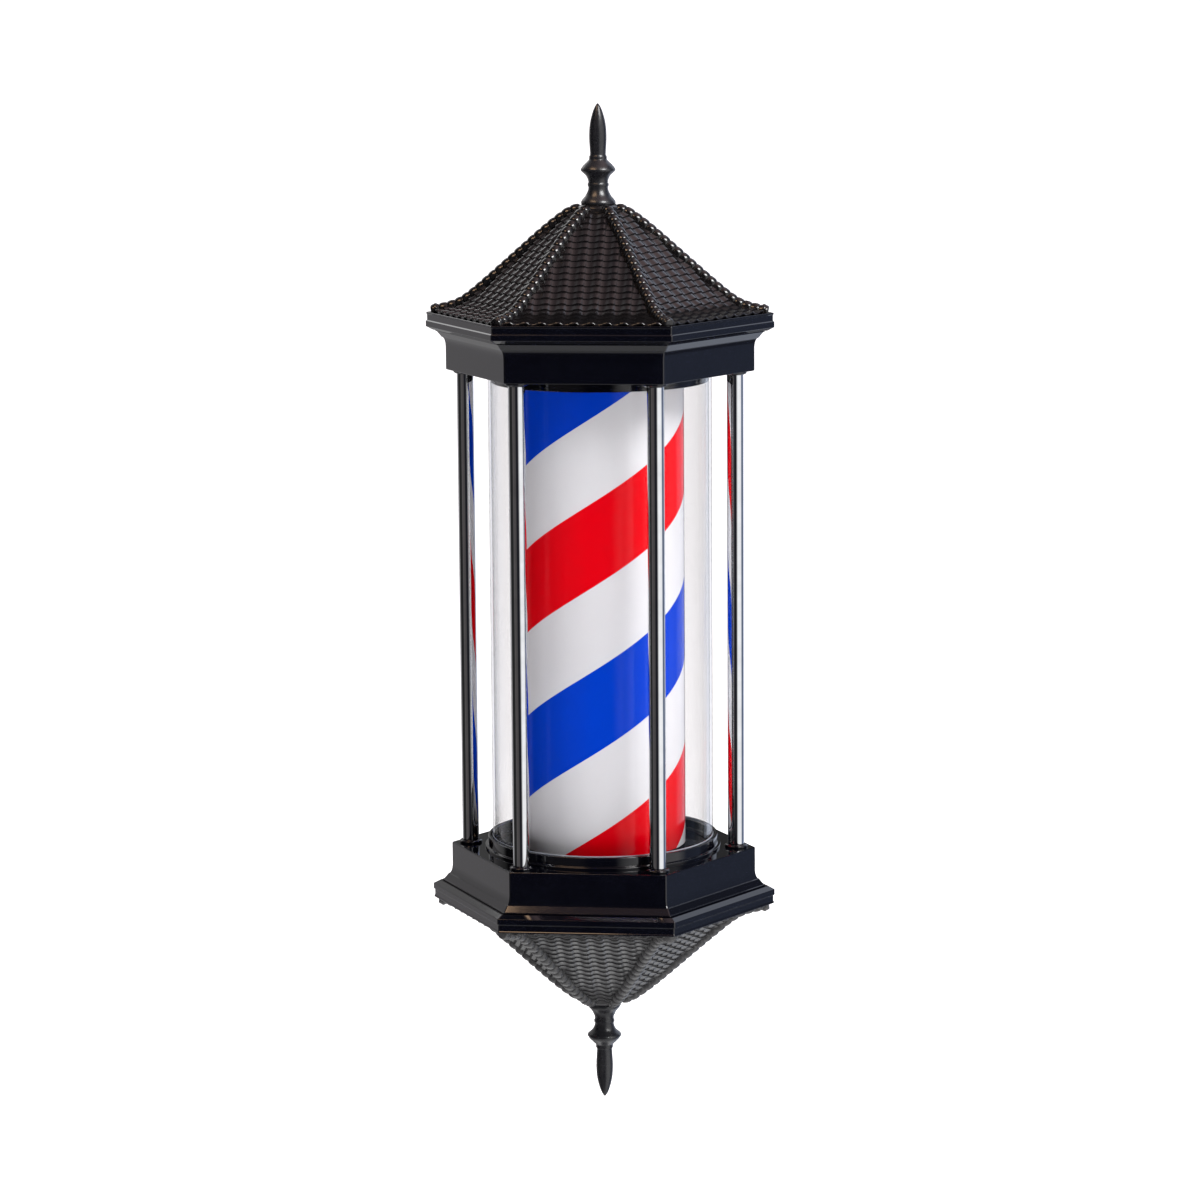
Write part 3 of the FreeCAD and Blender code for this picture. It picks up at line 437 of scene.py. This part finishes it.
def evenly(line, count):
    """Points spaced evenly along a line, ends included, with each one's tangent."""
    lengths = [0.0]
    for a, b in zip(line, line[1:]):
        lengths.append(lengths[-1] + (b - a).length)
    result = []
    j = 0
    for k in range(count + 1):
        target = lengths[-1] * k / count
        while j < len(line) - 2 and lengths[j + 1] < target:
            j += 1
        t = (target - lengths[j]) / (lengths[j + 1] - lengths[j])
        result.append((line[j].lerp(line[j + 1], t), (line[j + 1] - line[j]).normalized()))
    return result


# ------------------------------------------------------------------------------------- casings

COVE = ((CASING_R, DECK + 17.0), (111.3, DECK + 19.6), (111.9, DECK + 21.6), (113.0, DECK + 23.2))


def casing_outline():
    """The deck, the wall, its cove, the band below the seam and the hollow inside."""
    inside = CASING_R - CASING_WALL
    return rounded([
        (CASING_R, DECK, 1.0),
        *((r, z, 0) for r, z in COVE),
        (113.9, DECK + 23.5, 0.35),
        (117.4, SEAM - 0.9, 0.3),
        (118.3, SEAM - 0.8, 0.2),
        (118.3, SEAM, 0.2),
        (inside, SEAM, 0.3),
        (inside, DECK + CASING_WALL, 0.5),
        (DECK_HOLE_R, DECK + CASING_WALL, 0),
        (DECK_HOLE_R, DECK, 0),
    ], 0.5)


for half, sign in HALVES.items():
    shape = mirrored(hex_ring(casing_outline()), sign)
    shell = put(half + "_casing_shell", *shape, BLACK, "pole", "black_plastic", (half + "_casing",))
    keep_flats(shell)

# --------------------------------------------------------------------------------------- roofs

# The hip runs from the eaves to the crown. Each face has ROWS rows of tiles, each COLUMN wide; a tile
# is a hollow (PAN of its width) beside a roll, and its lower edge laps over the row below.
HIP = ((120.4, 214.6), (106.0, 217.8), (94.5, 223.3), (76.0, 238.3), (40.0, 269.8), (25.0, 281.6),
       (17.5, 286.0), (12.5, 286.9))
ROWS = 21
ROW_STEPS = (0.0, 0.06, 0.16, 0.42, 0.7, 0.97)
COLUMN = 11.4
COLUMN_STEPS = 14
COLUMN_START = 0.22
PAN = 0.4
TILE_ROLL = 1.2
TILE_LAP = 1.1
TILE_THICK = 1.4
SAMPLES = 40
RIDGE_CAP = ((0.0, 3.85), (0.06, 4.2), (0.2, 4.5), (0.42, 4.62), (0.64, 4.5), (0.84, 4.2), (0.96, 3.9))
RIDGE_LIFT = 0.3
RIDGE_SIDES = 16


def rim_outline():
    """The moulded rim that the tiles rest on."""
    return rounded([
        (113.0, SEAM + 0.2, 0),
        (120.5, SEAM + 0.2, 0.5),
        (RIM_R - 0.1, SEAM + 2.6, 0.6),
        (RIM_R - 0.1, SEAM + 6.4, 0.4),
        (RIM_R - 1.1, SEAM + 7.2, 0.3),
        (RIM_R - 1.1, SEAM + 11.2, 0.4),
        (RIM_R - 0.5, SEAM + 11.8, 0.3),
        (RIM_R - 0.7, SEAM + 12.9, 0.5),
        (113.0, SEAM + 12.9, 0),
    ], 0.4)


def hip_lines():
    """The hip as points of (corner radius, level), and the same line up the middle of a face."""
    hip = curve_through(HIP)
    return hip, [Vector((p.x * COS30, p.y)) for p in hip]


def tile_height(across, step):
    """How far a tile stands out of the roof: a hollow and a roll across it, a lap down each row."""
    u = (across / COLUMN + COLUMN_START) % 1
    if u < PAN:
        roll = 0.22 - 0.22 * math.sin(math.pi * u / PAN)
    else:
        roll = 0.22 + 0.78 * math.sin(math.pi * (u - PAN) / (1.12 - PAN))
    return TILE_ROLL * roll + TILE_LAP * (1 - step) * (0.6 + 0.4 * roll)


def tiled_face(face_line, heading):
    """One face of the roof, its tiles standing out of it, cut by the hips on both sides."""
    out = Vector((math.cos(heading), math.sin(heading), 0))
    across_way = Vector((-math.sin(heading), math.cos(heading), 0))
    samples = evenly(face_line, ROWS * SAMPLES)
    levels = []
    for row in range(ROWS):
        for step in ROW_STEPS:
            place, tangent = samples[round((row + step) * SAMPLES)]
            levels.append((place, tangent, step))
    place, tangent = samples[-1]
    levels.append((place, tangent, 1.0))
    reach = int(levels[0][0].x * TAN30 / COLUMN * COLUMN_STEPS) + 2
    points, grid = [], []
    for place, tangent, step in levels:
        half_width = place.x * TAN30
        normal = out * tangent.y + Vector((0, 0, -tangent.x))
        row_indices = []
        last = None
        for j in range(-reach, reach + 1):
            u = j * COLUMN / COLUMN_STEPS
            clamped = max(-half_width, min(half_width, u))
            inside = abs(u) < half_width - 0.05
            key = "in" if inside else ("low" if u < 0 else "high")
            if not inside and last is not None and last[0] == key:
                row_indices.append(last[1])
                continue
            base = out * place.x + across_way * (u if inside else clamped) + Vector((0, 0, place.y))
            if inside:
                base += normal * tile_height(u, step)
            points.append(tuple(base))
            last = (key, len(points) - 1)
            row_indices.append(len(points) - 1)
        grid.append(row_indices)
    faces = []
    for low, high in zip(grid, grid[1:]):
        for j in range(len(low) - 1):
            face = []
            for index in (low[j], low[j + 1], high[j + 1], high[j]):
                if index not in face:
                    face.append(index)
            if len(face) > 2:
                faces.append(tuple(face))
    return points, faces


def ridge(hip, heading):
    """A row of overlapping ridge caps up one hip, closed flat at both ends; ridge_end makes the round end
    over the eaves.
    """
    out = Vector((math.cos(heading), math.sin(heading), 0))
    side = Vector((-math.sin(heading), math.cos(heading), 0))
    samples = evenly(hip, ROWS * SAMPLES)
    points, rings = [], []
    for bead in range(ROWS):
        for step, radius in RIDGE_CAP:
            place, tangent = samples[round((bead + step) * SAMPLES)]
            normal = out * tangent.y + Vector((0, 0, -tangent.x))
            centre = out * place.x + Vector((0, 0, place.y)) + normal * RIDGE_LIFT
            rings.append(list(range(len(points), len(points) + RIDGE_SIDES)))
            for k in range(RIDGE_SIDES):
                a = math.tau * k / RIDGE_SIDES
                spoke = side * (radius * math.cos(a)) + normal * (radius * math.sin(a))
                points.append(tuple(centre + spoke))
    faces = ring_faces(rings, closed=False)
    faces.append(tuple(reversed(rings[0])))
    faces.append(tuple(rings[-1]))
    return points, faces


def ridge_end(hip, heading):
    """The round, dished plate at the foot of a ridge."""
    out = Vector((math.cos(heading), math.sin(heading), 0))
    side = Vector((-math.sin(heading), math.cos(heading), 0))
    centre = out * (hip[0].x - 2.2) + Vector((0, 0, hip[0].y + 1.4))
    way = (out * 0.97 + Vector((0, 0, -0.22))).normalized()
    up = side.cross(way) * -1
    outline = rounded([(0, -2.2), (4.4, -2.2, 0.5), (4.4, 0.2, 1.6), (2.4, 1.2, 0.8), (0, 1.2)], 0)
    points, faces = lathe(outline, 28)
    return [tuple(centre + side * x + up * y + way * z) for x, y, z in points], faces


def merged(piece, distance=0.02):
    """Welds the seams between a piece's parts."""
    modifier = piece.modifiers.new("Weld", "WELD")
    modifier.merge_threshold = distance * MM
    return piece


hip, middle = hip_lines()
for half, sign in HALVES.items():
    # The lower roof, its ridges and their ends take the lighter copy, whose base colour is painted light
    # from below.
    face_look, edge_look = (ROOF, RIDGE) if half == "upper" else (LOWER_ROOF_PAINTED_LIGHT, LOWER_ROOF_PAINTED_LIGHT)
    rim = put(half + "_roof_rim", *mirrored(hex_ring(rim_outline()), sign), BLACK, "pole", "roof_plastic",
              (half + "_roof",))
    keep_flats(rim)
    tiles = mirrored(join(*[tiled_face(middle, math.radians(30 + 60 * k)) for k in range(6)]), sign)
    tiled = merged(put(half + "_roof_tiles", *tiles, face_look, "pole", "roof_plastic", sharp=40))
    thick = tiled.modifiers.new("Thickness", "SOLIDIFY")
    thick.thickness = TILE_THICK * MM
    thick.offset = -1
    ridges = join(*[ridge(hip, math.radians(60 * k)) for k in range(6)])
    put(half + "_roof_ridges", *mirrored(ridges, sign), edge_look, "pole", "roof_plastic", sharp=50)
    ends = join(*[ridge_end(hip, math.radians(60 * k)) for k in range(6)])
    put(half + "_ridge_ends", *mirrored(ends, sign), edge_look, "pole", "roof_plastic", sharp=40)
    crown = rounded([(0, 283), (15.5, 283), (15.0, BOSS - 1.6, 1.5), (12.0, BOSS, 1.0), (0, BOSS)], 0)
    put(half + "_roof_crown", *mirrored(lathe(crown, 64), sign), face_look, "pole", "roof_plastic")

# -------------------------------------------------------------------------------------- finials


def finial_outline():
    """A flared foot, a ring, a bulb with a sharp waist, a second ring and a long swelling spire."""
    base = BOSS
    foot = [(12.3, base + 0.4), (12.3, base + 2.0), (10.9, base + 4.0), (9.0, base + 6.1),
            (8.0, base + 8.2), (7.1, base + 10.3), (6.9, base + 12.3)]
    ring = [(7.5, base + 13.2), (7.5, base + 14.6), (6.9, base + 15.4)]
    bulb = [(7.0, base + 16.7), (7.7, base + 18.8), (9.0, base + 20.9), (12.0, base + 23.4),
            (12.4, base + 24.4), (12.0, base + 25.4), (10.8, base + 27.2), (8.5, base + 29.4),
            (6.4, base + 31.5)]
    second = [(6.3, base + 32.2), (6.3, base + 33.8), (5.6, base + 34.9)]
    spire = [(5.6, base + 36.4), (5.85, base + 40.5), (6.15, base + 45), (6.2, base + 48.5),
             (6.0, base + 53.5), (5.4, base + 58), (4.6, base + 61.5), (3.5, base + 65.2),
             (2.5, base + 67.8), (1.4, TIP - 1.4), (0.6, TIP - 0.35), (0, TIP)]
    return [(0, base), (11.6, base), *foot, *ring, *bulb, *second, *spire]


def smooth_outline(points):
    """The outline with its gentle stretches rounded into curves."""
    line = [Vector(p) for p in points]
    result = [tuple(line[0])]
    for i in range(1, len(line) - 1):
        before, here, after = line[i - 1], line[i], line[i + 1]
        result += [tuple(here.lerp(before, 0.22)), tuple(here * 0.72 + (before + after) * 0.14),
                   tuple(here.lerp(after, 0.22))]
    result.append(tuple(line[-1]))
    return result


for name, sign in (("top_finial", 1), ("bottom_finial", -1)):
    shape = mirrored(lathe(smooth_outline(finial_outline()), 72), sign)
    put(name + "_turned", *shape, FINIAL, "pole", "finial_black", (name,), sharp=50)

# -------------------------------------------------------------------- rods, tube, rings and drum

ROD_R = radius_mm("rod_left")
ROD_END_R = 5.0
ROD_END = 9.0
FLANGE = 2.5
FLANGE_R = 8.3
for name in ("rod_left", "rod_front_left", "rod_front_right", "rod_right"):
    low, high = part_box(name)
    x = ((low[0] + high[0]) / 2 - AXIS.x) / MM
    y = ((low[1] + high[1]) / 2 - AXIS.y) / MM
    foot = FLANGE - DECK
    bar = lathe(rounded([(0, foot), (ROD_R, foot, 0.5), (ROD_R, -foot, 0.5), (0, -foot)], 0), 72)
    tail = -DECK - ROD_END
    end = lathe(rounded([(0, tail), (ROD_END_R, tail, 0.4), (ROD_END_R, foot), (0, foot)], 0), 32)
    bar = moved(join(bar, end, mirrored(end, -1)), x, y)
    put(name + "_bar", *bar, CHROME, "pole", "chrome", (name,))
    plate = lathe(rounded([(ROD_END_R + 0.05, -DECK), (FLANGE_R, -DECK, 0.3), (FLANGE_R, -DECK + 1.5, 0.6),
                           (FLANGE_R - 1.2, -DECK + FLANGE - 0.1, 0.4), (ROD_END_R + 0.05, foot)], 0), 48)
    plates = moved(join(plate, mirrored(plate, -1)), x, y)
    replaced = ("rod_flanges",) if name == "rod_left" else ()
    put(name + "_flanges", *plates, BLACK, "pole", "black_plastic", replaced)

ROUND = 192
TUBE_R = radius_mm("outer_tube")
TUBE_WALL = 2.0
TUBE_TOP = top_mm("outer_tube")
outline = rounded([(TUBE_R - TUBE_WALL, -TUBE_TOP), (TUBE_R, -TUBE_TOP), (TUBE_R, TUBE_TOP),
                   (TUBE_R - TUBE_WALL, TUBE_TOP)], 0.4)
put("clear_tube", *lathe(outline, ROUND), CLEAR, "pole", "clear_acrylic", ("outer_tube",))

collar_top = top_mm("lower_tube_collar")
collar_r = radius_mm("lower_tube_collar")
outline = rounded([(80.3, -DECK), (collar_r + 2.2, -DECK, 0), (collar_r + 2.2, -DECK + 1.6, 0.5),
                   (collar_r, -DECK + 2.0, 0.4), (collar_r, collar_top - 0.2, 0.7), (81.4, collar_top, 0.5),
                   (80.9, collar_top - 1.4, 0.4), (80.3, collar_top - 1.6)], 0)
put("tube_collar", *lathe(outline, ROUND), BLACK, "pole", "black_plastic", ("lower_tube_collar",))

# The clear tube's foot edge as an opaque light ring: a painted highlight of the tube's edge above the
# collar.
edge = rounded([(79.3, collar_top - 0.4), (80.25, collar_top - 0.4), (80.25, collar_top + 0.35, 0.3),
                (79.3, collar_top + 0.35, 0.3)], 0)
put("tube_foot_edge", *lathe(edge, ROUND), TUBE_EDGE_HIGHLIGHT, "pole", "clear_acrylic")

ring_low = bottom_mm("upper_tube_ring")
outline = rounded([(74.7, ring_low + 0.6), (75.6, ring_low, 0.4), (77.7, ring_low, 0.6), (77.7, DECK - 0.1),
                   (74.7, DECK - 0.1)], 0)
put("tube_ring", *lathe(outline, ROUND), BLACK, "pole", "black_plastic", ("upper_tube_ring",))

DRUM_R = radius_mm("drum_shell")
DRUM_WALL = 1.5
drum_low, drum_top = bottom_mm("drum_shell"), top_mm("drum_shell")
outline = rounded([(DRUM_R - DRUM_WALL, drum_low), (DRUM_R, drum_low), (DRUM_R, drum_top),
                   (DRUM_R - DRUM_WALL, drum_top)], 0.4)
put("drum_striped", *lathe(outline, ROUND), STRIPES, "drum", "striped_acrylic", ("drum_shell",))

# ---------------------------------------------------------------------- camera, floor and lights

CENTRE = Vector((AXIS.x, AXIS.y, 0))
CAMERA_TURN = math.radians(6.56)
CAMERA_RISE = math.radians(9.36)
CAMERA_DISTANCE = 2.92245
CAMERA_ROLL = -0.0074
CAMERA_LENS = 121.74
AIM_RIGHT, AIM_UP = -0.95 * MM, 6.75 * MM


def heading_vector(turn, rise):
    """The direction that is turned to the right of the front, and raised, by two angles."""
    return Vector((math.sin(turn) * math.cos(rise), -math.cos(turn) * math.cos(rise), math.sin(rise)))


back = heading_vector(CAMERA_TURN, CAMERA_RISE)
level_right = Vector((math.cos(CAMERA_TURN), math.sin(CAMERA_TURN), 0))
level_up = back.cross(level_right)
right = level_right * math.cos(CAMERA_ROLL) + level_up * math.sin(CAMERA_ROLL)
up = back.cross(right)
camera_data = bpy.data.cameras.new("camera")
camera_data.sensor_width = 36
camera_data.lens = CAMERA_LENS
camera_data.clip_end = 200
camera = bpy.data.objects.new("camera", camera_data)
bpy.context.scene.collection.objects.link(camera)
place = CENTRE + back * CAMERA_DISTANCE
aim = CENTRE + right * AIM_RIGHT + up * AIM_UP
look = (place - aim).normalized()
right = (right - look * right.dot(look)).normalized()
up = look.cross(right)
camera.matrix_world = Matrix.Translation(place) @ Matrix((right, up, look)).transposed().to_4x4()
bpy.context.scene.camera = camera


def floor():
    """A plain pale floor well below the light."""
    mesh = bpy.data.meshes.new("floor")
    size, level = 60.0, cad_bounds[0][2] - 0.45
    corners = [(-size, -size, level), (size, -size, level), (size, size, level), (-size, size, level)]
    mesh.from_pydata(corners, [], [(0, 1, 2, 3)])
    piece = bpy.data.objects.new("floor", mesh)
    bpy.context.scene.collection.objects.link(piece)
    n = Nodes("floor_white")
    paint = n.blend(n.spread(n.noise(3, 2), 0, 1), (0.9, 0.9, 0.9), (0.88, 0.88, 0.88))
    n.link(paint, n.shader.inputs["Base Color"])
    n.fixed(Roughness=0.9, Emission_Color=(1, 1, 1, 1), Emission_Strength=0.9)
    mesh.materials.append(n.material)
    piece.visible_glossy = False


def studio():
    """The surroundings: dark in front, soft boxes at the right and left, bright behind and below."""
    world = bpy.data.worlds.new("studio")
    bpy.context.scene.world = world
    world.use_nodes = True
    tree = world.node_tree
    background = tree.nodes["Background"]
    nodes, links = tree.nodes, tree.links
    direction = nodes.new("ShaderNodeTexCoord").outputs["Generated"]
    parts = nodes.new("ShaderNodeSeparateXYZ")
    links.new(direction, parts.inputs[0])

    def maths(operation, first, second=None):
        """A sum on fixed numbers or outputs."""
        node = nodes.new("ShaderNodeMath")
        node.operation = operation
        for socket, value in zip(node.inputs, (first, second)):
            if isinstance(value, (int, float)):
                socket.default_value = value
            elif value is not None:
                links.new(value, socket)
        return node.outputs[0]

    heading = maths("ARCTAN2", parts.outputs[0], maths("MULTIPLY", parts.outputs[1], -1.0))
    fraction = maths("MULTIPLY_ADD", heading, 1 / math.tau)
    fraction.node.inputs[2].default_value = 0.5
    ramp = nodes.new("ShaderNodeValToRGB")
    bands = (
        (-180, (0.012, 0.012, 0.012)), (-174, (0.012, 0.012, 0.012)), (-160, (0.09, 0.09, 0.09)),
        (-128, (0.090, 0.087, 0.090)), (-112, (0.080, 0.080, 0.080)), (-106, (0.004, 0.004, 0.004)),
        (-55.5, (0.005, 0.005, 0.005)), (-54, (0.045, 0.045, 0.045)), (-51.5, (0.020, 0.018, 0.018)),
        (-16, (0.016, 0.015, 0.015)), (-7, (0.003, 0.003, 0.004)), (19, (0.003, 0.003, 0.004)),
        (29, (0.15, 0.15, 0.15)), (40, (0.23, 0.23, 0.23)), (86, (0.22, 0.22, 0.22)),
        (97, (0.034, 0.041, 0.060)), (118, (0.032, 0.039, 0.058)), (122, (0.014, 0.016, 0.022)),
        (132, (0.014, 0.016, 0.022)), (138, (0.17, 0.185, 0.22)), (166, (0.17, 0.185, 0.22)),
        (174, (0.012, 0.012, 0.012)),
    )
    for i, (angle, colour) in enumerate(bands):
        position = (angle + 180) / 360
        element = ramp.color_ramp.elements[i] if i < 2 else ramp.color_ramp.elements.new(position)
        element.position = position
        element.color = (*colour, 1)
    links.new(fraction, ramp.inputs["Fac"])

    def mix(factor, first, second):
        """Mixes two colours, each a fixed one or an output."""
        node = nodes.new("ShaderNodeMix")
        node.data_type = "RGBA"
        sockets = {s.identifier: s for s in node.inputs}
        links.new(factor, sockets["Factor_Float"])
        for key, value in (("A_Color", first), ("B_Color", second)):
            if isinstance(value, tuple):
                sockets[key].default_value = (*value, 1)
            else:
                links.new(value, sockets[key])
        return next(s for s in node.outputs if s.identifier == "Result_Color")

    def between(low, high, axis=2):
        """How far the direction's part along an axis has gone from low to high, from 0 to 1."""
        node = nodes.new("ShaderNodeMapRange")
        node.interpolation_type = "SMOOTHSTEP"
        node.inputs["From Min"].default_value = low
        node.inputs["From Max"].default_value = high
        links.new(parts.outputs[axis], node.inputs["Value"])
        return node.outputs["Result"]

    ceiling = mix(between(-0.35, 0.5, 0), (0.035, 0.026, 0.028), (0.20, 0.145, 0.145))
    around = mix(between(0.68, 0.9), ramp.outputs["Color"], ceiling)
    below = mix(between(0.1, 0.35, 1), (0.15, 0.15, 0.15), (0.36, 0.36, 0.36))
    around = mix(between(-0.74, -0.92), around, below)
    links.new(around, background.inputs["Color"])
    background.inputs["Strength"].default_value = 5.5
    white = nodes.new("ShaderNodeBackground")
    white.inputs["Color"].default_value = (1, 1, 1, 1)
    white.inputs["Strength"].default_value = 1.1
    path = nodes.new("ShaderNodeLightPath")
    mixer = nodes.new("ShaderNodeMixShader")
    links.new(path.outputs["Is Camera Ray"], mixer.inputs[0])
    links.new(background.outputs[0], mixer.inputs[1])
    links.new(white.outputs[0], mixer.inputs[2])
    links.new(mixer.outputs[0], nodes["World Output"].inputs["Surface"])


def soft_box(name, turn, rise, distance, width, height, watts, colour=(1, 1, 1)):
    """An area light facing the pole's middle; turn is in degrees to the right of the front."""
    data = bpy.data.lights.new(name, "AREA")
    data.shape = "RECTANGLE"
    data.size, data.size_y = width, height
    data.energy = watts
    data.color = colour
    lamp = bpy.data.objects.new(name, data)
    bpy.context.scene.collection.objects.link(lamp)
    way = heading_vector(math.radians(turn), math.radians(rise))
    lamp.location = CENTRE + way * distance
    lamp.rotation_euler = way.to_track_quat("Z", "Y").to_euler()
    return lamp


floor()
studio()
soft_box("high_front", 50, 43, 5.0, 2.2, 1.6, 258)
soft_box("front_fill", 10, -5, 4.0, 3.0, 3.0, 46).visible_glossy = False
soft_box("left_back", -152, 28, 2.6, 1.9, 0.5, 4.5)
soft_box("warm_strip", -38, 55, 2.2, 1.0, 0.62, 14, (1.0, 0.66, 0.40)).visible_diffuse = False
bpy.context.scene.view_settings.view_transform = "Standard"
